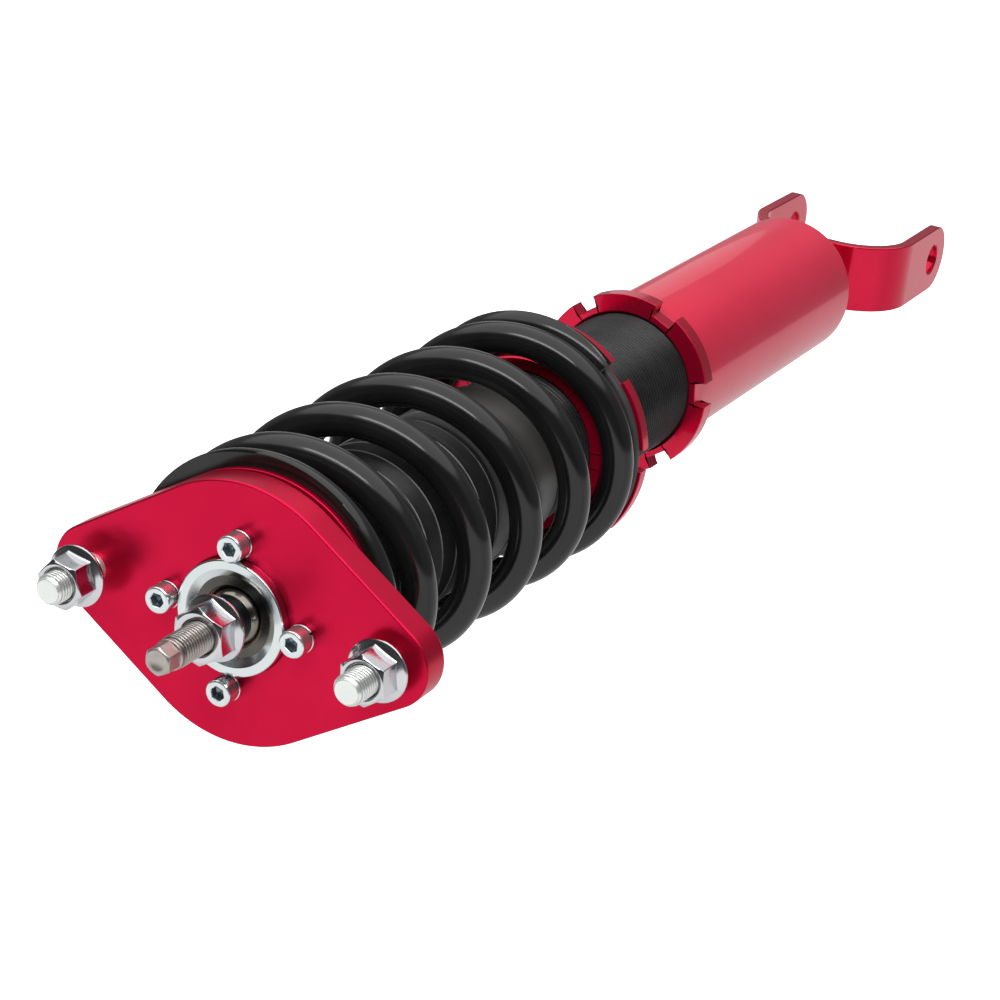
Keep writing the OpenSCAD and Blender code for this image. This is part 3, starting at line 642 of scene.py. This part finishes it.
piece("seat", "rod", [turned([
    (ROD_BORE_R, -18.0), (11.0, -18.0, 0.5), (11.0, SEAT_FACE), (28.43, SEAT_FACE),
    (28.43, -22.0, 0.5), (COLLAR_R, -22.0, 0.8), (COLLAR_R, SEAT_FACE), (41.0, SEAT_FACE, 0.4),
    (41.0, -12.3, 0.4), (ROD_BORE_R, -12.3)], 144)], RED, ["upper_seat"])

piece("bump", "rod", [turned([
    (6.32, -18.05), (16.8, -18.05, 1.0), (17.0, -26, 2.0), (13.6, -30, 2.0), (16.0, -34.5, 2.5),
    (15.8, -39, 2.5), (12.8, -43, 2.0), (14.4, -46.5, 2.5), (11.8, -53, 1.5),
    (6.32, -54.2, 1.0)], 96)],
    FOAM, ["bump_stop"])


# ---------------------------------------------------------------- boot and sleeve
def boot():
    """The pleated boot. Outside, the radius swings between root and crest as a triangle wave of
    the height with rounded ends, and the root widens over the last fold; the wall has one
    thickness. The crest value paints a grey highlight line: it is 1 on each crest and on the
    boot's ends, and falls to 0 within a third of a millimetre."""
    s = np.linspace(0, FOLDS, FOLDS * 24 + 1)
    lift = 1 - np.abs((s % 1.0) - 0.5) * 2
    soft = np.sqrt(0.0025 + lift ** 2) - 0.05
    tip = 1 - (np.sqrt(0.0012 + (1 - soft) ** 2) - 0.0346)
    # the last fold is shallow, to pass over the body's top as the boot closes
    late = np.clip(s - (FOLDS - 2), 0, 1)
    root = ROOT_R + 3.5 * late * late * (3 - 2 * late)
    r = root + (CREST_R - root) * np.clip(tip, 0, 1)
    z = FIRST_FOLD + (LAST_FOLD - FIRST_FOLD) * s / FOLDS
    # painted highlight along each crest
    painted_shading = np.clip((lift - 0.93) / 0.05, 0, 1)
    cuff = CUFF_R + 0.05
    out_r = np.concatenate([[27.0, CUFF_R, cuff, cuff, 26.0], r, [CUFF_R, CUFF_R]])
    out_z = np.concatenate([[BOOT_TOP, BOOT_TOP, BOOT_TOP - 0.3, FIRST_FOLD + 1.2,
                             FIRST_FOLD + 0.6], z, [LAST_FOLD - 1.0, BOOT_LOW]])
    # painted highlight on the outside rows: the crests, and fainter at the cuffs; none inside
    out_highlight = np.concatenate([[0, 0.4, 0, 0, 0], painted_shading, [0.2, 0.5]])
    in_r = np.concatenate([[26.8, 26.8], (r - BOOT_WALL)[::-1], [26.6]])
    in_z = np.concatenate([[BOOT_LOW, LAST_FOLD - 0.2], z[::-1], [BOOT_TOP]])
    prof_r, prof_z = np.concatenate([out_r, in_r]), np.concatenate([out_z, in_z])
    prof_highlight = np.concatenate([out_highlight, np.zeros(len(in_r))])
    a = np.arange(160) * TAU / 160
    # slow waves round each pleat, as moulded rubber never hangs quite true
    wave = (0.16 * np.sin(3 * a)[:, None] * np.sin(prof_z * 0.31)
            + 0.1 * np.sin(5 * a + 1.3)[:, None])
    inside = ((prof_z < FIRST_FOLD) & (prof_z > LAST_FOLD)).astype(float)
    pts = np.empty((len(a), len(prof_r), 3))
    pts[..., 0] = np.cos(a)[:, None] * prof_r
    pts[..., 1] = np.sin(a)[:, None] * prof_r
    pts[..., 2] = prof_z + wave * inside
    obj = piece("boot", "rod", [grid(pts)], BOOT, ["dust_boot"], sharp=70,
                values={"crest": np.repeat(prof_highlight[None], len(a), 0).ravel()})
    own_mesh(obj)


boot()

piece("sleeve", "damper", [turned([
    (26.56, -124.55), (28.38, -124.55, 0.4), (28.38, -155.0, 0.5), (26.56, -155.0)], 160)],
    CUP_BLACK, ["boot_cup"])


# ---------------------------------------------------------------- threaded body
def body():
    """The body: plain under the sleeve, thread from below the sleeve down to inside the bracket,
    faded in and out at its ends, then plain to its foot, with a bore right through."""
    plain_top, cut_top, cut_low, foot = -115.0, -156.6, -277.0, -330.0
    rows_per_turn, count = 9, 128
    z = np.linspace(cut_top, cut_low, int((cut_top - cut_low) / BODY_PITCH * rows_per_turn) + 1)
    a = np.arange(count) * TAU / count
    r = thread_radius(a[:, None], z[None, :], BODY_R, BODY_THREAD_DEPTH, BODY_PITCH)
    fade = np.clip((cut_top - z) / 1.2, 0, 1) * np.clip((z - cut_low) / 1.0, 0, 1)
    r = BODY_ROOT_R + (r - BODY_ROOT_R) * fade
    upper = soft_corners([(BODY_BORE_R, plain_top), (BODY_R, plain_top, 0.5), (BODY_R, -155.6),
                          (BODY_ROOT_R, -156.5)], closed=False)
    lower = soft_corners([(BODY_ROOT_R, cut_low - 0.2), (26.4, cut_low - 1.2), (26.4, foot, 0.5),
                          (BODY_BORE_R, foot)], closed=False)
    rr = np.concatenate([np.repeat(upper[:, 0][None], count, 0), r,
                         np.repeat(lower[:, 0][None], count, 0)], 1)
    zz = np.concatenate([upper[:, 1], z, lower[:, 1]])
    pts = np.empty((count, len(zz), 3))
    pts[..., 0] = np.cos(a)[:, None] * rr
    pts[..., 1] = np.sin(a)[:, None] * rr
    pts[..., 2] = zz
    block = grid(pts)
    # painted shade in the roots of the body's thread, by depth below the crest
    piece("body_tube", "damper", [block], BODY_THREAD, ["threaded_body"], sharp=60,
          values={"groove": groove_of(block, BODY_R, BODY_THREAD_DEPTH)})


body()


# ---------------------------------------------------------------- spring
def spring():
    """The coil spring. The angle falls evenly with the winding s, and the drop per turn is the
    wire's thickness plus an opening that eases in over the first turn and out over the last. A
    circle of the wire's radius is carried along, and what passes the end planes is ground flat."""
    (s0, s1), steps = SPRING_TURNS, 1200

    def ease(x):
        x = np.clip(x, 0, 1)
        return x * x * (3 - 2 * x)

    ds = (s1 - s0) / steps
    s = s0 + np.arange(steps + 1) * ds
    mid = s[:-1] + ds / 2
    opening = ease((mid - 0.1) / 1.25) * ease((5.45 - mid) / 0.45)
    opened = np.concatenate([[0], np.cumsum(opening * ds)])
    close = 2 * WIRE_R
    tip, foot = SPRING_TOP + 0.5 * WIRE_R, SPRING_LOW - 0.5 * WIRE_R
    gain = (tip - foot - close * (s1 - s0)) / opened[-1]
    z = tip - close * (s - s0) - gain * opened
    a = math.radians(90) - TAU * s
    count = 28
    b = np.arange(count) * TAU / count
    slope = np.gradient(z, s) / (-TAU * COIL_R)
    # the section's plane leans with the winding, so the wire stays round
    lean = np.arctan(slope)
    rad = COIL_R + WIRE_R * np.cos(b)[None, :]
    up = WIRE_R * np.sin(b)[None, :] * np.cos(lean)[:, None]
    back = -WIRE_R * np.sin(b)[None, :] * np.sin(lean)[:, None]
    pts = np.empty((steps + 1, count, 3))
    pts[..., 0] = rad * np.cos(a)[:, None] - back * np.sin(a)[:, None]
    pts[..., 1] = rad * np.sin(a)[:, None] + back * np.cos(a)[:, None]
    pts[..., 2] = z[:, None] + up
    # the wire's two ends are sheared off with a small chamfer
    ends = []
    for last, before in ((0, 1), (-1, -2)):
        middle = pts[last].mean(0)
        along = (pts[last] - pts[before]).mean(0)
        along /= np.linalg.norm(along)
        rim = middle + (pts[last] - middle) * 0.9 + along * 0.5
        ends.append((rim, np.repeat((middle + along * 0.5)[None], count, 0)))
    (rim_a, tip_a), (rim_b, tip_b) = ends
    pts = np.concatenate([tip_a[None], rim_a[None], pts, rim_b[None], tip_b[None]])
    pts[..., 0] += COIL_SHIFT[0]
    pts[..., 1] += COIL_SHIFT[1]
    # the end planes cut the wire with a softened edge
    soft = 0.3
    pts[..., 2] = SPRING_TOP - soft * np.logaddexp(0, (SPRING_TOP - pts[..., 2]) / soft)
    pts[..., 2] = SPRING_LOW + soft * np.logaddexp(0, (pts[..., 2] - SPRING_LOW) / soft)
    obj = piece("spring", "pad", [grid(pts, False, True)], SPRING_BLACK,
                ["coil_spring"], sharp=38)
    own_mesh(obj)


spring()

piece("pad", "pad", [turned([
    (31.75, -188.85, 0.5), (41.4, -188.85, 1.0), (41.4, -192.25, 1.0),
    (31.75, -192.25, 0.5)], 144)],
    RUBBER, ["spring_pad"])


# ---------------------------------------------------------------- notched rings
def notch_outline(radius, depth, width, count, first, inset=0.0, arc_points=20):
    """Outline of a rim with square notches: arcs of the radius broken by notches that run in
    square to the rim. inset moves the whole outline inward by that much, notch walls too."""
    r, w, floor = radius - inset, width / 2 + inset, radius - depth - inset
    a_out, a_in = math.asin(w / r), math.asin(w / floor)
    step = TAU / count
    out = []
    across = np.linspace(-a_in, a_in, 5)
    ang = np.concatenate([across, np.linspace(a_out, step - a_out, arc_points)])
    rad = np.concatenate([floor / np.cos(across) * math.cos(a_in), np.full(arc_points, r)])
    for k in range(count):
        c = math.radians(first) + k * step
        out.append(np.column_stack([np.cos(c + ang) * rad, np.sin(c + ang) * rad]))
    return np.concatenate(out)


def notched(radius, depth, width, count, first, top, low, before, after, edge=0.3):
    """A rim with notches and softened edges between two heights. before and after are the turned
    profile's (radius, height) points that close the section inside the rim."""
    base = notch_outline(radius, depth, width, count, first)
    bearing = np.arctan2(base[:, 1], base[:, 0])

    def rim(inset, z):
        q = notch_outline(radius, depth, width, count, first, inset)
        return np.column_stack([q, np.full(len(q), z)])

    def circle(r, z):
        return ring_row(bearing, r, z)

    r = [circle(*p) for p in before]
    r += [rim(edge + 0.03, top), rim(edge, top), rim(edge * 0.35, top - edge * 0.25),
          rim(0, top - edge), rim(0, top - edge - 0.03), rim(0, low + edge + 0.03),
          rim(0, low + edge), rim(edge * 0.35, low + edge * 0.25), rim(edge, low),
          rim(edge + 0.03, low)]
    r += [circle(*p) for p in after]
    return grid(np.stack(r, 1))


piece("perch", "perch", [notched(
    42.3, 3.5, 7.8, 8, 2.6, PERCH_TOP, PERCH_LOW,
    before=[(RUN_R, -202.6), (RUN_R, -183.0), (27.1, -182.3), (30.9, -182.3), (COLLAR_R, -182.9),
            (COLLAR_R, -192.57), (31.5, PERCH_TOP), (37.6, PERCH_TOP)],
    after=[(37.6, PERCH_LOW), (31.5, PERCH_LOW), (COLLAR_R, -197.3), (COLLAR_R, -202.6),
           (30.9, -203.2), (27.1, -203.2)])], RED_GLOSS, ["spring_perch"])

piece("lock", "bracket", [notched(
    33.9, 4.0, 9.0, 6, 6.0, LOCK_TOP, LOCK_LOW,
    before=[(RUN_R, -272.6), (RUN_R, -267.0), (27.5, -266.05), (27.55, LOCK_TOP),
            (29.0, LOCK_TOP)],
    after=[(29.0, LOCK_LOW), (27.0, LOCK_LOW)])], RED_GLOSS, ["lock_ring"])


# ---------------------------------------------------------------- bracket and fork
piece("bracket", "bracket", [turned([
    (RUN_R, -273.1, 0.2), (TUBE_R, -273.1, 0.5), (TUBE_R, TUBE_LOW, 2.6), (NECK_R, TUBE_LOW),
    (NECK_R, STRAP_TOP, 0.4), (5.04, STRAP_TOP), (5.04, -438.0), (0.0, -438.0), (0.0, -422.0),
    (RUN_R, -422.0)], 160)], RED_TUBE, ["bracket_tube"])


def strap_arch(edge, half_w):
    """The strap's flat top and its two bends: a bar section with rounded edges is carried along a
    line of quarter circle, straight and quarter circle, square to the line all the way."""
    section = soft_corners([(-half_w, 0.0, edge), (half_w, 0.0, edge), (half_w, STRAP_T, edge),
                            (-half_w, STRAP_T, edge)], steps=4)
    flat, bend_z = FORK_X - BEND_R, STRAP_TOP - BEND_R
    t = np.linspace(0, math.pi / 2, 25)[1:]
    straight = np.linspace(-flat, flat, 9)[1:]
    x = np.concatenate([[-FORK_X], -flat - BEND_R * np.cos(t), straight,
                        flat + BEND_R * np.sin(t)])
    z = np.concatenate([[bend_z], bend_z + BEND_R * np.sin(t), np.full(8, STRAP_TOP),
                        bend_z + BEND_R * np.cos(t)])
    out_x = np.concatenate([[-1.0], -np.cos(t), np.zeros(8), np.sin(t)])
    out_z = np.concatenate([[0.0], np.sin(t), np.ones(8), np.cos(t)])
    pts = np.empty((len(x), len(section), 3))
    pts[..., 0] = x[:, None] - out_x[:, None] * section[:, 1]
    pts[..., 1] = section[:, 0]
    pts[..., 2] = z[:, None] - out_z[:, None] * section[:, 1]
    caps = [np.repeat(pts[i].mean(0)[None, None], len(section), 1) for i in (0, -1)]
    return grid(np.concatenate([caps[0], pts, caps[1]]), False, True)


def strap_ear(side, e, half_w):
    """One ear: rows go once round the section. Rim rows are the outline moved in by an amount at a
    depth from the outer face, and bore rows are circles at the same bearings from the hole."""
    top, t = STRAP_TOP - BEND_R, STRAP_T
    turn = np.linspace(0, math.pi, 41)
    # the outline in y and z: round the end, up one side, across the top, down the other side
    y = np.concatenate([half_w * np.cos(turn), np.full(5, -half_w),
                        np.linspace(-half_w, half_w, 17)[1:-1], np.full(5, half_w)])
    z = np.concatenate([EAR_Z - half_w * np.sin(turn), np.linspace(EAR_Z, top, 6)[1:],
                        np.full(15, top), np.linspace(top, EAR_Z, 6)[:-1]])
    # outward directions: nothing moves where the ear meets the bend, so that it stays flush
    ny = np.concatenate([np.cos(turn), np.full(5, -1.0), np.zeros(15), np.full(5, 1.0)])
    nz = np.concatenate([-np.sin(turn), np.zeros(25)])
    bearing = np.arctan2(z - HOLE_Z, y)

    def rim(inset, depth):
        x = np.full(len(y), side * (FORK_X - depth))
        return np.column_stack([x, y - ny * inset, z - nz * inset])

    def bore(r, depth):
        x = np.full(len(y), side * (FORK_X - depth))
        return np.column_stack([x, r * np.cos(bearing), HOLE_Z + r * np.sin(bearing)])

    outer = [(e + 0.03, 0), (e, 0), (e * 0.617, e * 0.076), (e * 0.293, e * 0.293),
             (e * 0.076, e * 0.617), (0, e), (0, e + 0.03)]
    inner = [(inset, t - depth) for inset, depth in reversed(outer)]
    r = [bore(HOLE_R, t - 0.5), bore(HOLE_R, 0.5), bore(HOLE_R + 0.5, 0.0)]
    r += [rim(*p) for p in outer + inner]
    r += [bore(HOLE_R + 0.5, t)]
    return grid(np.stack(r, 1))


EDGE = 0.55                      # rounding of the strap's edges
piece("fork", "bracket", [strap_arch(EDGE, STRAP_W / 2), strap_ear(-1, EDGE, STRAP_W / 2),
                          strap_ear(1, EDGE, STRAP_W / 2)],
      RED_GLOSS, ["fork_strap", "fork_ear_left", "fork_ear_right"])

piece("fork_washer_skin", "bracket", [turned([
    (5.06, -464.28), (8.4, -464.28, 0.5), (8.4, -461.82, 0.3), (5.06, -461.82)], 72)],
    ZINC, ["fork_washer"])


def fork_bolt():
    """The bolt under the fork: a hexagon head with its chamfer facing down, and its shank."""
    v, q = hex_bar(0.0, 6.4, 16.0, 0.0, 0.8, corner=0.5)
    v[:, 2] = -464.35 - v[:, 2]
    shank = turned([(0, -465.0), (4.98, -465.0), (4.98, -438.1, 0.6), (0, -438.1)], 48,
                   closed=False)
    piece("fork_bolt_skin", "bracket", [(v, q), shank], ZINC, ["fork_bolt"])


fork_bolt()


# ---------------------------------------------------------------- CAD nodes that show as they are
KEPT = {
    "housing_circlip": STEEL, "lower_spacer": STEEL, "piston": ALLOY, "piston_band": RUBBER,
    "piston_nut": STEEL, "cylinder_tube": ALLOY, "rod_guide": ALLOY, "guide_bush": BRONZE,
    "rod_seal": RUBBER, "gland_cap": BODY_BLACK, "dust_wiper": RUBBER, "base_plug": STEEL,
    "gas_piston": ALLOY, "gas_ring": RUBBER, "fork_dowel_left": STEEL, "fork_dowel_right": STEEL,
}
for node, finish in KEPT.items():
    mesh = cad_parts[node].data
    mesh.materials.clear()
    mesh.materials.append(finish)


# ---------------------------------------------------------------- floor, light and camera
def pale_floor():
    """A wide pale floor, low enough for the fork at the bottom of its adjustment."""
    mesh = bpy.data.meshes.new("floor")
    z, half = CAD_BOX[0].z - 0.030, 6
    mesh.from_pydata([(-half, -half, z), (half, -half, z), (half, half, z), (-half, half, z)],
                     [], [(0, 1, 2, 3)])
    obj = bpy.data.objects.new("floor", mesh)
    bpy.context.scene.collection.objects.link(obj)
    mat = bpy.data.materials.new("pale_floor")
    mat.use_nodes = True
    n, link = mat.node_tree.nodes, mat.node_tree.links.new
    bsdf = n["Principled BSDF"]
    place = n.new("ShaderNodeTexCoord")
    cloud = n.new("ShaderNodeTexNoise")
    cloud.inputs["Scale"].default_value = 2.0
    ramp = n.new("ShaderNodeValToRGB")
    ramp.color_ramp.elements[0].color = (0.86, 0.86, 0.86, 1)
    ramp.color_ramp.elements[1].color = (0.9, 0.9, 0.9, 1)
    link(place.outputs["Object"], cloud.inputs["Vector"])
    link(cloud.outputs["Fac"], ramp.inputs["Fac"])
    link(ramp.outputs["Color"], bsdf.inputs["Base Color"])
    bsdf.inputs["Roughness"].default_value = 0.9
    bsdf.inputs["Specular IOR Level"].default_value = 0.1
    bsdf.inputs["Emission Color"].default_value = (1, 1, 1, 1)
    bsdf.inputs["Emission Strength"].default_value = 0.6
    # only the view sees the floor; what the part mirrors is the studio round it
    seen = n.new("ShaderNodeLightPath")
    clear = n.new("ShaderNodeBsdfTransparent")
    mix = n.new("ShaderNodeMixShader")
    link(seen.outputs["Is Camera Ray"], mix.inputs[0])
    link(clear.outputs[0], mix.inputs[1])
    link(bsdf.outputs[0], mix.inputs[2])
    link(mix.outputs[0], n["Material Output"].inputs["Surface"])
    mesh.materials.append(mat)


pale_floor()

# brightness of the surroundings by the y of the direction, on the two sides of the part
FAR_SIDE = [(-1.0, 0.75), (-0.17, 0.85), (-0.14, 0.22), (0.30, 0.22), (0.56, 0.34), (0.64, 1.5),
            (1.0, 1.7)]
NEAR_SIDE = [(-1.0, 0.9), (-0.22, 1.1), (-0.14, 0.10), (0.35, 0.03), (0.58, 0.10), (0.66, 1.5),
             (1.0, 1.7)]


def studio_world():
    """Soft studio surroundings, by direction alone. Behind the part: a white table below it, a
    grey wall, and light above. On the viewer's side: the same table and a dark room."""
    world = bpy.data.worlds.new("studio")
    bpy.context.scene.world = world
    world.use_nodes = True
    tree = world.node_tree
    n, link = tree.nodes, tree.links.new
    back = n["Background"]
    place = n.new("ShaderNodeTexCoord")
    split = n.new("ShaderNodeSeparateXYZ")
    link(place.outputs["Generated"], split.inputs[0])

    def ramp_of(stops):
        half = n.new("ShaderNodeMapRange")
        half.inputs["From Min"].default_value = -1.0
        half.inputs["From Max"].default_value = 1.0
        link(split.outputs["Y"], half.inputs["Value"])
        ramp = n.new("ShaderNodeValToRGB")
        el = ramp.color_ramp.elements
        for k, (y, v) in enumerate(stops):
            at = y * 0.5 + 0.5
            e = el[0] if k == 0 else el[-1] if k == len(stops) - 1 else el.new(at)
            e.position, e.color = at, (v, v, v, 1)
        link(half.outputs["Result"], ramp.inputs["Fac"])
        return ramp.outputs["Color"]

    far, near = ramp_of(FAR_SIDE), ramp_of(NEAR_SIDE)
    side = n.new("ShaderNodeMapRange")
    side.interpolation_type = "SMOOTHSTEP"
    side.inputs["From Min"].default_value = -0.1
    side.inputs["From Max"].default_value = 0.4
    link(split.outputs["Z"], side.inputs["Value"])
    both = n.new("ShaderNodeMix")
    both.data_type = "RGBA"
    link(side.outputs["Result"], both.inputs[0])
    link(far, both.inputs[6])
    link(near, both.inputs[7])
    seen = n.new("ShaderNodeLightPath")
    mix = n.new("ShaderNodeMix")
    mix.data_type = "RGBA"
    mix.inputs[7].default_value = (1.0, 1.0, 1.0, 1)
    link(seen.outputs["Is Camera Ray"], mix.inputs[0])
    link(both.outputs[2], mix.inputs[6])
    link(mix.outputs[2], back.inputs["Color"])
    back.inputs["Strength"].default_value = 1.0


studio_world()


def soft_light(name, place, aim, size, tall, power, shiny):
    """An area light at a place, turned to aim at a point. Metal mirrors it only if shiny."""
    data = bpy.data.lights.new(name, "AREA")
    data.shape = "RECTANGLE"
    data.size, data.size_y = size, tall
    data.energy = power
    obj = bpy.data.objects.new(name, data)
    bpy.context.scene.collection.objects.link(obj)
    obj.location = place
    obj.rotation_euler = (Vector(aim) - Vector(place)).to_track_quat("-Z", "Y").to_euler()
    obj.visible_glossy = shiny


AIM = (0, 0, -0.15)
soft_light("over", (0.15, 1.15, 0.85), AIM, 1.1, 0.9, 40, False)
soft_light("strip", (0.15, 1.10, 0.80), AIM, 1.0, 0.24, 5.0, True)
soft_light("behind", (-0.62, 0.36, -1.3), (0, 0, -0.2), 0.5, 0.5, 0.35, True)


def camera():
    """The camera: its place, and the directions of its right, down and ahead in the record's
    frame. Its own axes are right, up and back."""
    right = (0.88180, 0.10784, -0.45915)
    down = (0.26316, -0.92033, 0.28947)
    ahead = (-0.39135, -0.37609, -0.83989)
    place = (0.375637, 0.343376, 0.634373)
    data = bpy.data.cameras.new("camera")
    data.lens, data.sensor_width = 100.07, 36.0
    data.clip_start, data.clip_end = 0.01, 50.0
    obj = bpy.data.objects.new("camera", data)
    bpy.context.scene.collection.objects.link(obj)
    obj.matrix_world = Matrix([(right[i], -down[i], -ahead[i], place[i]) for i in range(3)]
                              + [(0, 0, 0, 1)])
    bpy.context.scene.camera = obj


camera()
bpy.context.scene.view_settings.view_transform = "Standard"
